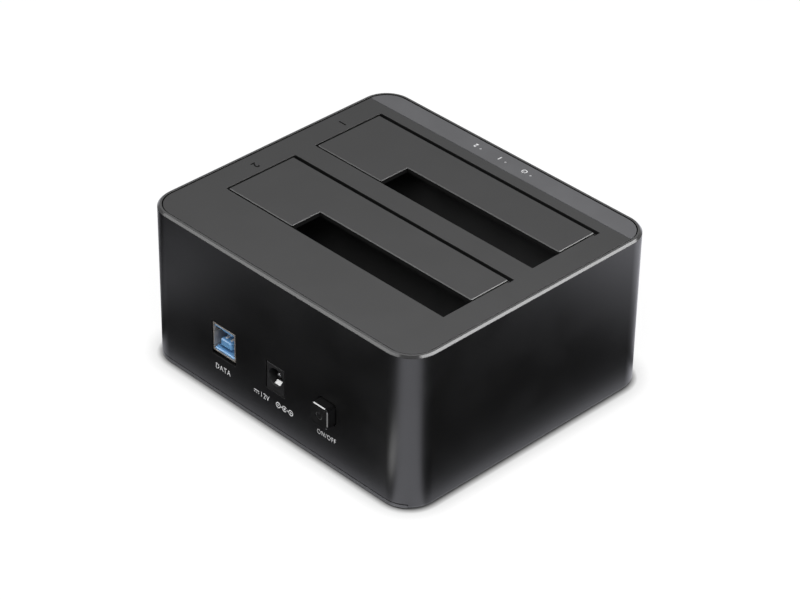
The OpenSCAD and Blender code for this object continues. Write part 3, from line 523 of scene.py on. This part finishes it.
finishes = {
    "anodised_black": anodised(),
    "plate_grey": deck_grey(),
    "strip_grey": moulded(
        "strip_lacquer", (0.105, 0.1055, 0.112), roughness=0.32, specular=0.4, grain=0.2, depth=0.002,
        rub=0.1,
    ),
    "black_plastic": moulded("shell_black", (0.012, 0.012, 0.0125), roughness=0.4),
    "jack_plastic": moulded("jack_black", (0.02, 0.02, 0.0205), roughness=0.38),
    "foot_rubber": moulded(
        "foot_rubber", (0.014, 0.014, 0.014), roughness=0.75, specular=0.3, grain=0.5, depth=0.03, rub=0.1,
    ),
    "screw_steel": rolled("screw_zinc", (0.5, 0.5, 0.49), roughness=0.3, depth=0.003, Along_Z=0.2),
    "spring_steel": rolled("spring_wire", (0.42, 0.42, 0.43), roughness=0.28, depth=0.002, Along_X=0.2),
    "board_green": circuit(),
    "contact_gilt": rolled("contact_gilt", (0.83, 0.61, 0.26), roughness=0.22, Along_Z=0.1),
    "socket_metal": rolled(
        "socket_nickel", (0.6, 0.55, 0.5), roughness=0.42, depth=0.002, metal=0.75, Along_Y=0.05,
    ),
    "socket_blue": moulded(
        "socket_blue", (0.17, 0.4, 0.71), roughness=0.24, specular=0.6, depth=0.003, rub=0.1,
    ),
    "jack_metal": rolled("jack_nickel", (0.24, 0.24, 0.24), roughness=0.34, Along_Y=0.1),
    "pale_plastic": moulded("pale_nylon", (0.55, 0.53, 0.48), roughness=0.45, grain=0.4, rub=0.1),
    "lamp_clear": lens(),
    "ribbon_grey": ribbon(),
    "chip_black": moulded(
        "chip_resin", (0.012, 0.012, 0.013), roughness=0.5, specular=0.4, grain=0.15, depth=0.01, rub=0.1,
    ),
    "can_sleeve": rolled("can_aluminium", (0.62, 0.62, 0.63), roughness=0.3, depth=0.002, Along_Z=0.1),
}
label_ink = ink("label_ink", (0.85, 0.85, 0.86), roughness=0.6)
sign_ink = ink("sign_ink", (0.16, 0.16, 0.16), roughness=0.5)
dark_ink = ink("dark_ink", (0.012, 0.012, 0.012), roughness=0.7, specular=0.2)
# Painted highlight: the socket's gilt contacts get a pale, half-metal colour that stands in for a glint on
# them.
finger_painted_glint = rolled("finger_painted_glint", (0.9, 0.88, 0.84), roughness=0.5, metal=0.3, Along_Y=0.1)
# Painted light: the bays' wells get a lighter black than the other black mouldings, standing in for light
# that doesn't reach into them.
well_black_painted_light = moulded("well_black_painted_light", (0.055, 0.055, 0.056), roughness=0.4, depth=0.008)
base_black = moulded("base_black", (0.045, 0.045, 0.047), roughness=0.4, specular=0.5)
cap_black = button_gloss()

for node, slot in slot_of.items():
    nodes[node].data.materials.clear()
    nodes[node].data.materials.append(finishes[slot])


# Mesh helpers

def to_object(bm, name):
    """A bmesh made an object of the scene."""
    mesh = bpy.data.meshes.new(name)
    bm.to_mesh(mesh)
    bm.free()
    piece = bpy.data.objects.new(name, mesh)
    scene.collection.objects.link(piece)
    return piece


def to_mesh(thing):
    """A mesh of an object with its modifiers applied."""
    graph = bpy.context.evaluated_depsgraph_get()
    return bpy.data.meshes.new_from_object(thing.evaluated_get(graph))


def dress(piece, body, material, node=None, chamfered=False):
    """Smooth shading, flat across single chamfers, a finish, and the body that carries the piece."""
    sharp = chamfered_sharp if chamfered else rounded_sharp
    bm = bmesh.new()
    bm.from_mesh(piece.data)
    for face in bm.faces:
        face.smooth = True
    for edge in bm.edges:
        edge.smooth = edge.is_manifold and edge.calc_face_angle() < sharp
    bm.to_mesh(piece.data)
    bm.free()
    piece.data.materials.clear()
    piece.data.materials.append(material)
    if not chamfered:
        even = piece.modifiers.new("even_normals", "WEIGHTED_NORMAL")
        even.keep_sharp = True
    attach(piece, body)
    if node:
        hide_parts(node)


def stand_in(piece, node, body="housing", finish=None, chamfered=False):
    """Dresses a piece that stands for a CAD node, in the node's own finish unless another is given."""
    slot = slot_of[node]
    dress(piece, body, finish or finishes[slot], node, chamfered)


def copied(node):
    """A CAD node's shape with its triangles merged and its flats joined."""
    bm = bmesh.new()
    bm.from_mesh(nodes[node].data)
    bmesh.ops.remove_doubles(bm, verts=bm.verts, dist=MERGE)
    bmesh.ops.dissolve_limit(bm, angle_limit=FLAT, verts=bm.verts, edges=bm.edges)
    return bm


def bevelled(bm, edges, width, steps, clamp=False):
    """Rounds edges to a width in millimetres, or cuts a chamfer where there is one step."""
    bmesh.ops.bevel(
        bm, geom=edges, offset=width * MM, offset_type="OFFSET", segments=steps, profile=0.5,
        affect="EDGES", clamp_overlap=clamp, material=-1,
    )


def softened(node, width, steps):
    """A copy of a CAD node with its sharp edges rounded."""
    bm = copied(node)
    sharp = [edge for edge in bm.edges if edge.is_manifold and edge.calc_face_angle() > edge_turn]
    bevelled(bm, sharp, width, steps)
    return bm


def sunk(piece, cutter):
    """Cuts a solid out of a piece, and removes the solid."""
    cut = piece.modifiers.new("cut", "BOOLEAN")
    cut.object = cutter
    cut.solver = "EXACT"
    mesh = to_mesh(piece)
    piece.modifiers.clear()
    piece.data = mesh
    bpy.data.objects.remove(cutter)


# Marks, drawn in millimetres on a plane whose x runs right, y up and z out, and 1 thick

def written(text, height, bold=0.0):
    """Upright text as a solid mark, centred, as tall as its height."""
    curve = bpy.data.curves.new("writing", "FONT")
    curve.body = text
    curve.extrude = 0.5
    curve.offset = bold
    curve.space_character = letter_pitch
    holder = bpy.data.objects.new("writing", curve)
    scene.collection.objects.link(holder)
    mesh = to_mesh(holder)
    bpy.data.objects.remove(holder)
    bm = bmesh.new()
    bm.from_mesh(mesh)
    bmesh.ops.remove_doubles(bm, verts=bm.verts, dist=MARK_MERGE)
    low = Vector(min(v.co[i] for v in bm.verts) for i in range(3))
    high = Vector(max(v.co[i] for v in bm.verts) for i in range(3))
    bmesh.ops.translate(bm, verts=bm.verts, vec=-(low + high) / 2)
    size = height / (high.y - low.y)
    bmesh.ops.scale(bm, verts=bm.verts, vec=(size * letter_width, size, 1.0))
    return bm


def bar(bm, x, y, length, width, turn=0.0):
    """A straight stroke centred at a place."""
    place = Matrix.Translation((x, y, 0.0)) @ Matrix.Rotation(math.radians(turn), 4, "Z")
    bmesh.ops.create_cube(bm, size=1.0, matrix=place @ Matrix.Diagonal((length, width, 1.0, 1.0)))


def arc(bm, x, y, radius, width, start=0.0, sweep=360.0):
    """A round stroke about a place, from a start angle: an upright section that is spun."""
    place = Matrix.Translation((x, y, 0.0)) @ Matrix.Rotation(math.radians(start), 4, "Z")
    upright = Matrix.Translation((radius, 0.0, 0.0)) @ Matrix.Rotation(math.pi / 2, 4, "X")
    section = place @ upright @ Matrix.Diagonal((width, 1.0, 1.0, 1.0))
    verts = bmesh.ops.create_grid(bm, x_segments=1, y_segments=1, size=0.5, matrix=section)["verts"]
    face = verts[0].link_faces[0]
    edges = list(face.edges)
    bmesh.ops.delete(bm, geom=[face], context="FACES_ONLY")
    bmesh.ops.spin(
        bm, geom=verts + edges, cent=(x, y, 0.0), axis=(0.0, 0.0, 1.0), angle=math.radians(sweep),
        steps=max(arc_least_steps, round(sweep / arc_step)), use_merge=sweep >= 360.0, use_duplicate=False,
    )


def broken_ring(bm, radius, width, opening):
    """A ring about the middle with a gap at an angle."""
    arc(bm, 0.0, 0.0, radius, width, start=opening + ring_gap / 2, sweep=360.0 - ring_gap)


def disc(bm, x, y, radius):
    """A round dot."""
    bmesh.ops.create_cone(
        bm, cap_ends=True, segments=dot_sides, radius1=radius, radius2=radius, depth=1.0,
        matrix=Matrix.Translation((x, y, 0.0)),
    )


def closed(bm):
    """Closes the ends of open strokes and turns the faces outwards."""
    bmesh.ops.remove_doubles(bm, verts=bm.verts, dist=MARK_MERGE)
    bmesh.ops.holes_fill(bm, edges=[edge for edge in bm.edges if edge.is_boundary])
    bmesh.ops.recalc_face_normals(bm, faces=bm.faces)
    return bm


def power_sign(radius, width):
    """The sign of a broken ring with an upright bar."""
    bm = bmesh.new()
    broken_ring(bm, radius, width, opening=90.0)
    bar(bm, 0.0, radius * power_bar_rise, radius * power_bar_length, width, turn=90.0)
    return closed(bm)


def polarity_sign(radius, width):
    """Three linked rings: minus outside on the left, plus on the right, and the centre pin between them."""
    pitch = radius * polarity_pitch
    bm = bmesh.new()
    for x in (-pitch, pitch):
        arc(bm, x, 0.0, radius, width)
        bar(bm, x, 0.0, radius * polarity_bar, width)
        bar(bm, x / 2, 0.0, pitch - 2 * radius, width)
    bar(bm, pitch, 0.0, radius * polarity_bar, width, turn=90.0)
    broken_ring(bm, radius, width, opening=0.0)
    disc(bm, 0.0, 0.0, radius * polarity_dot)
    return closed(bm)


def direct_sign(width):
    """A straight line over three dashes."""
    bm = bmesh.new()
    bar(bm, 0.0, direct_rise, direct_length, width)
    for x in (-dash_pitch, 0.0, dash_pitch):
        bar(bm, x, -direct_rise, dash_length, width)
    return closed(bm)


def moved(bm, x):
    """A mark shifted along its line."""
    bmesh.ops.translate(bm, verts=bm.verts, vec=(x, 0.0, 0.0))
    return bm


def joined(*marks):
    """Several marks in one bmesh."""
    whole = bmesh.new()
    for bm in marks:
        mesh = bpy.data.meshes.new("mark")
        bm.to_mesh(mesh)
        bm.free()
        whole.from_mesh(mesh)
        bpy.data.meshes.remove(mesh)
    return whole


def on_plane(bm, right, up, centre, low, high):
    """Sets a mark on a plane of the dock, from low to high above the centre, in millimetres."""
    out = Vector(right).cross(Vector(up))
    thick = Matrix.Translation((0.0, 0.0, (low + high) / 2)) @ Matrix.Diagonal((1.0, 1.0, high - low, 1.0))
    axes = Matrix((right, up, out)).transposed().to_4x4()
    bm.transform(Matrix.Scale(MM, 4) @ Matrix.Translation(centre) @ axes @ thick)
    return bm


rear_plane = {"right": (-1.0, 0.0, 0.0), "up": (0.0, 0.0, 1.0)}
deck_plane = {"right": (1.0, 0.0, 0.0), "up": (0.0, 1.0, 0.0)}
bay_plane = {"right": (0.0, 1.0, 0.0), "up": (-1.0, 0.0, 0.0)}


def printed(bm, name, plane, centre):
    """A pale mark printed on the housing."""
    piece = to_object(on_plane(bm, **plane, centre=centre, low=-ink_sink, high=ink_lift), name)
    dress(piece, "housing", label_ink)


# Pieces that stand for CAD nodes, with their edges rounded or chamfered

def rounded(node, name, width, steps=small_steps, body="housing", finish=None):
    """A piece that stands for a CAD node, with its sharp edges rounded."""
    piece = to_object(softened(node, width, steps), name)
    stand_in(piece, node, body, finish, chamfered=steps == chamfer_steps)


rounded("housing_sleeve", "sleeve", sleeve_edge)
rounded("indicator_strip", "lamp_strip", strip_edge)
for side in ("rear", "front"):
    rounded(side + "_flap", side + "_bay_lid", flap_chamfer, chamfer_steps, body=side + "_flap")
rounded("bay_frame", "bay_wells", well_edge, finish=well_black_painted_light)
rounded("base_plate", "under_plate", base_edge, finish=base_black)
rounded("rubber_feet", "foot_pads", foot_edge, full_steps)
rounded("data_socket_shell", "socket_shell", shell_edge)
rounded("data_socket_insulator", "socket_core", core_chamfer, chamfer_steps)
rounded("data_socket_contacts", "socket_fingers", finger_edge, finish=finger_painted_glint)
rounded("jack_housing", "jack_block", jack_edge, full_steps)
for side in ("rear", "front"):
    rounded(side + "_drive_connector", side + "_connector_body", connector_edge)
rounded("base_screws", "under_screws", screw_edge)

# Pin of the jack, and its leaf with the bends drawn out into arcs
stand_in(to_object(copied("jack_pin"), "jack_centre_pin"), "jack_pin")
leaf = copied("jack_spring")
bends = [
    edge for edge in leaf.edges
    if abs(edge.verts[0].co.x - edge.verts[1].co.x) > leaf_least_edge * MM
    and leaf_least_turn < edge.calc_face_angle() < leaf_most_turn
]
bevelled(leaf, bends, leaf_bend, leaf_bend_steps, clamp=True)
stand_in(to_object(leaf, "jack_leaf"), "jack_spring")

# Top plate with its bay numbers sunk into it
deck_plate = to_object(softened("top_plate", deck_edge, small_steps), "deck_plate")


def bay_numbers(low, high):
    """The bays' numbers as solids between two heights over the deck, in millimetres."""
    return joined(*(
        on_plane(
            written(number, bay_mark_height, number_bold), **bay_plane,
            centre=(bay_mark_x, y, plate_high.z / MM), low=low, high=high,
        )
        for number, y in bay_mark_y.items()
    ))


sunk(deck_plate, to_object(bay_numbers(-bay_mark_depth, cutter_top), "number_cutter"))
stand_in(deck_plate, "top_plate")
number_ink = to_object(bay_numbers(-bay_mark_depth, ink_lift - bay_mark_depth), "bay_number_ink")
dress(number_ink, "housing", dark_ink)

# Push button with its sign sunk into the face
switch_cap = to_object(softened("power_button", cap_chamfer, chamfer_steps), "switch_cap")
button_middle = (button_low + button_high) / 2
button_face = Vector((button_middle.x, button_high.y, button_middle.z)) / MM


def cap_sign(low, high):
    """The button's power sign as a solid between two heights over its face, in millimetres."""
    sign = power_sign(cap_sign_radius, cap_sign_stroke)
    return on_plane(sign, **rear_plane, centre=button_face, low=low, high=high)


sunk(switch_cap, to_object(cap_sign(-cap_sign_depth, cutter_top), "sign_cutter"))
stand_in(switch_cap, "power_button", "button", cap_black, chamfered=True)
sign_fill = to_object(cap_sign(-cap_sign_depth, ink_lift - cap_sign_depth), "cap_sign_ink")
dress(sign_fill, "button", sign_ink)

# Return spring of the button, with a mesh of its own
cap_spring = to_object(copied("button_spring"), "cap_spring")
stand_in(cap_spring, "button_spring")
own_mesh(cap_spring)

# Printed labels on the rear wall
rear_y = sleeve_high.y / MM
data_label = written("DATA", label_height)
power_label = joined(
    moved(direct_sign(label_stroke), direct_sign_shift),
    moved(written("12V", label_height), voltage_shift),
    moved(polarity_sign(polarity_radius, label_stroke), polarity_shift),
)
switch_label = written("ON/OFF", switch_label_height)
printed(data_label, "data_label", rear_plane, (data_label_x, rear_y, label_z))
printed(power_label, "power_label", rear_plane, (power_label_x, rear_y, label_z))
printed(switch_label, "switch_label", rear_plane, (switch_label_x, rear_y, label_z))

# Printed marks beside the lamps of the strip
strip_top = strip_high.z / MM
power_mark = power_sign(strip_sign_radius, strip_sign_stroke)
first_mark = written("1", strip_mark_height, number_bold)
second_mark = written("2", strip_mark_height, number_bold)
printed(power_mark, "power_mark", deck_plane, (strip_sign_x, strip_mark_y, strip_top))
printed(first_mark, "first_bay_mark", deck_plane, (first_mark_x, strip_mark_y, strip_top))
printed(second_mark, "second_bay_mark", deck_plane, (second_mark_x, strip_mark_y, strip_top))


# Camera at the photograph's view

camera_data = bpy.data.cameras.new("camera")
camera_data.lens = view_lens
camera_data.sensor_width = view_sensor
camera = bpy.data.objects.new("camera", camera_data)
scene.collection.objects.link(camera)
view_back = Vector((
    math.sin(view_turn) * math.cos(view_rise),
    -math.cos(view_turn) * math.cos(view_rise),
    math.sin(view_rise),
))
camera.location = view_aim + view_back * view_distance
camera.rotation_mode = "QUATERNION"
camera.rotation_quaternion = (-view_back).to_track_quat("-Z", "Y") @ Quaternion((0.0, 0.0, 1.0), view_roll)
scene.camera = camera


# Floor: white to the camera with a contact shadow, and with pools of light in reflections

def contact_shadow(tree):
    """The light left on the floor close to the dock: a tight shade and a wide one."""
    samples = 12
    tight_reach = 2.5
    tight_power = 1.6
    wide_reach = 9.0
    wide_power = 0.6
    tight = maths(tree, "POWER", sky(tree, tight_reach, samples), tight_power)
    wide = maths(tree, "POWER", sky(tree, wide_reach, samples), wide_power)
    return maths(tree, "MULTIPLY", tight, wide)


def pool(tree, bearing, level, middle, core, edge):
    """Light on the floor that fans out from a corner about a middle bearing, in radians."""
    aside = maths(tree, "ABSOLUTE", maths(tree, "SUBTRACT", bearing, middle))
    return maths(tree, "MULTIPLY", ramp(tree, aside, core, edge, start=1.0, end=0.0), level)


def corner_pools(tree, spot, out_x, out_y):
    """Pools of light beside the upright corners: near the camera, and to its right and left."""
    bearing = maths(tree, "ARCTAN2", out_y, out_x)
    outwards = maths(tree, "MAXIMUM", out_x, out_y)
    near_level = over(tree, outwards, from_mm=0.0, to_mm=12.0, end=2.2)
    near_pool = pool(tree, bearing, near_level, middle=0.815, core=0.52, edge=0.75)
    right_level = over(tree, outwards, from_mm=14.0, to_mm=115.0, end=2.35)
    right_pool = pool(tree, bearing, right_level, middle=0.96, core=0.1, edge=0.74)
    left_rise = over(tree, outwards, from_mm=22.0, to_mm=50.0, end=0.8)
    left_fall = over(tree, outwards, from_mm=50.0, to_mm=90.0, start=1.0, end=0.0)
    left_level = maths(tree, "MULTIPLY", left_rise, left_fall)
    left_pool = pool(tree, bearing, left_level, middle=math.pi / 4, core=0.0, edge=0.62)
    depth_x = maths(tree, "MULTIPLY", spot["X"], -math.sin(view_turn))
    depth_y = maths(tree, "MULTIPLY", spot["Y"], math.cos(view_turn))
    depth = maths(tree, "ADD", depth_x, depth_y)
    near = over(tree, depth, from_mm=-75.0, to_mm=-55.0, start=1.0, end=0.0)
    left = over(tree, spot["X"], from_mm=-1.0, to_mm=1.0)
    return blend(tree, near, blend(tree, left, right_pool, left_pool), near_pool)


def floor_glare(tree):
    """Brightness of the floor in reflections: a band by the walls, pools at corners, and far sides."""
    least_out = 0.1 * MM
    spot = split(tree, coords(tree)["Object"])
    beside_x = maths(tree, "SUBTRACT", maths(tree, "ABSOLUTE", spot["X"]), sleeve_high.x)
    beside_y = maths(tree, "SUBTRACT", maths(tree, "ABSOLUTE", spot["Y"]), sleeve_high.y)
    out_x = maths(tree, "MAXIMUM", maths(tree, "ADD", beside_x, corner_radius * MM), least_out)
    out_y = maths(tree, "MAXIMUM", maths(tree, "ADD", beside_y, corner_radius * MM), least_out)
    right_to_left = maths(tree, "ADD", spot["X"], spot["Y"])
    band_level = over(tree, right_to_left, from_mm=-90.0, to_mm=90.0, start=1.52, end=0.94)
    beside = maths(tree, "MAXIMUM", beside_x, beside_y)
    band = over(tree, beside, from_mm=0.0, to_mm=9.0, start=band_level, end=0.0)
    left_side = over(tree, spot["X"], from_mm=65.0, to_mm=90.0)
    left_far = maths(tree, "MULTIPLY", left_side, over(tree, spot["Y"], from_mm=57.0, to_mm=40.0))
    right_side = over(tree, spot["Y"], from_mm=-57.0, to_mm=-80.0, end=1.8)
    right_far = maths(tree, "MULTIPLY", right_side, over(tree, spot["X"], from_mm=-80.0, to_mm=-50.0))
    close = maths(tree, "MAXIMUM", band, corner_pools(tree, spot, out_x, out_y))
    return maths(tree, "MAXIMUM", close, maths(tree, "MAXIMUM", left_far, right_far))


def shown_directly(tree, path):
    """1 for the rays that show the floor or the backdrop themselves."""
    return maths(tree, "MAXIMUM", path["Is Camera Ray"], path["Is Transmission Ray"])


def floor_finish():
    """A white floor that keeps the shadow of the dock."""
    white_glow = 0.92
    material = bpy.data.materials.new("floor_white")
    material.use_nodes = True
    tree = material.node_tree
    tree.nodes.clear()
    path = add(tree, "ShaderNodeLightPath").outputs
    contact = contact_shadow(tree)
    strength = maths(tree, "MULTIPLY", contact, white_glow)
    glow = add(tree, "ShaderNodeEmission", {"Strength": strength}).outputs[0]
    white = tint(tree, contact, rgba(0.0, 0.0, 0.0), rgba(0.15, 0.15, 0.15))
    lit = add(tree, "ShaderNodeBsdfDiffuse", {"Color": white}).outputs[0]
    shown = add(tree, "ShaderNodeAddShader", {0: glow, 1: lit}).outputs[0]
    glare = {"Color": rgba(0.92, 0.925, 1.0), "Strength": floor_glare(tree)}
    shine = add(tree, "ShaderNodeEmission", glare).outputs[0]
    plain = add(tree, "ShaderNodeBsdfDiffuse", {"Color": rgba(0.75, 0.75, 0.75)}).outputs[0]
    bounced = add(tree, "ShaderNodeMixShader", {0: path["Is Glossy Ray"], 1: plain, 2: shine}).outputs[0]
    both = add(tree, "ShaderNodeMixShader", {0: shown_directly(tree, path), 1: bounced, 2: shown})
    out = add(tree, "ShaderNodeOutputMaterial")
    tree.links.new(both.outputs[0], out.inputs[0])
    return material


floor_half = 4.0
floor_bm = bmesh.new()
bmesh.ops.create_grid(floor_bm, x_segments=1, y_segments=1, size=floor_half)
floor = to_object(floor_bm, "floor")
floor.data.materials.append(floor_finish())


# World: white behind the dock, dimmer on the camera's side

def backdrop():
    """A white backdrop for the camera, and a soft studio for light and reflections."""
    world = bpy.data.worlds.new("studio")
    scene.world = world
    world.use_nodes = True
    tree = world.node_tree
    tree.nodes.clear()
    path = add(tree, "ShaderNodeLightPath").outputs
    away = Vector((-math.sin(view_turn), math.cos(view_turn), 0.0))
    behind = vectors(tree, "DOT_PRODUCT", coords(tree)["Generated"], away)["Value"]
    soft = ramp(tree, behind, low=-0.7, high=0.7, start=0.4, end=0.9)
    level = blend(tree, shown_directly(tree, path), soft, 1.0)
    light = add(tree, "ShaderNodeBackground", {"Strength": level})
    out = add(tree, "ShaderNodeOutputWorld")
    tree.links.new(light.outputs[0], out.inputs[0])


backdrop()


# Lamps

def softbox(name, place, target, along, size, power, mirrored=True):
    """A lamp that is only mirrored or only lights, with its width along a direction, in metres."""
    data = bpy.data.lights.new(name, "AREA")
    data.shape = "RECTANGLE"
    data.size, data.size_y = size
    data.energy = power
    lamp = bpy.data.objects.new(name, data)
    lamp.location = place
    lamp.rotation_mode = "QUATERNION"
    ahead = (Vector(target) - Vector(place)).normalized()
    across = (Vector(along) - ahead * ahead.dot(Vector(along))).normalized()
    lamp.rotation_quaternion = Matrix((across, across.cross(ahead), -ahead)).transposed().to_quaternion()
    lamp.visible_camera = False
    lamp.visible_glossy = mirrored
    lamp.visible_diffuse = not mirrored
    scene.collection.objects.link(lamp)


dock_middle = (0.0, 0.0, 0.03)
softbox(
    "right_softbox", place=(-0.57, -0.32, 0.605), target=dock_middle, along=(0.0, 1.0, 0.2),
    size=(0.98, 0.19), power=6.6,
)
softbox(
    "left_softbox", place=(0.37, 0.573, 0.65), target=dock_middle, along=(1.0, -0.1, -0.3),
    size=(0.86, 0.26), power=2.6,
)
softbox(
    "button_lamp", place=(0.028, 0.1205, 0.085), target=(-0.031, 0.061, 0.03), along=(1.0, 0.0, 0.0),
    size=(0.05, 0.014), power=0.02,
)
softbox(
    "low_lamp", place=(-0.051, 0.0785, 0.007), target=(-0.035, 0.061, 0.025), along=(0.0, 0.0, 1.0),
    size=(0.016, 0.014), power=0.0022,
)
softbox(
    "near_fill", place=(-0.12, 0.12, 0.26), target=dock_middle, along=(1.0, 1.0, 0.0),
    size=(0.16, 0.12), power=0.6, mirrored=False,
)

scene.view_settings.view_transform = "Standard"
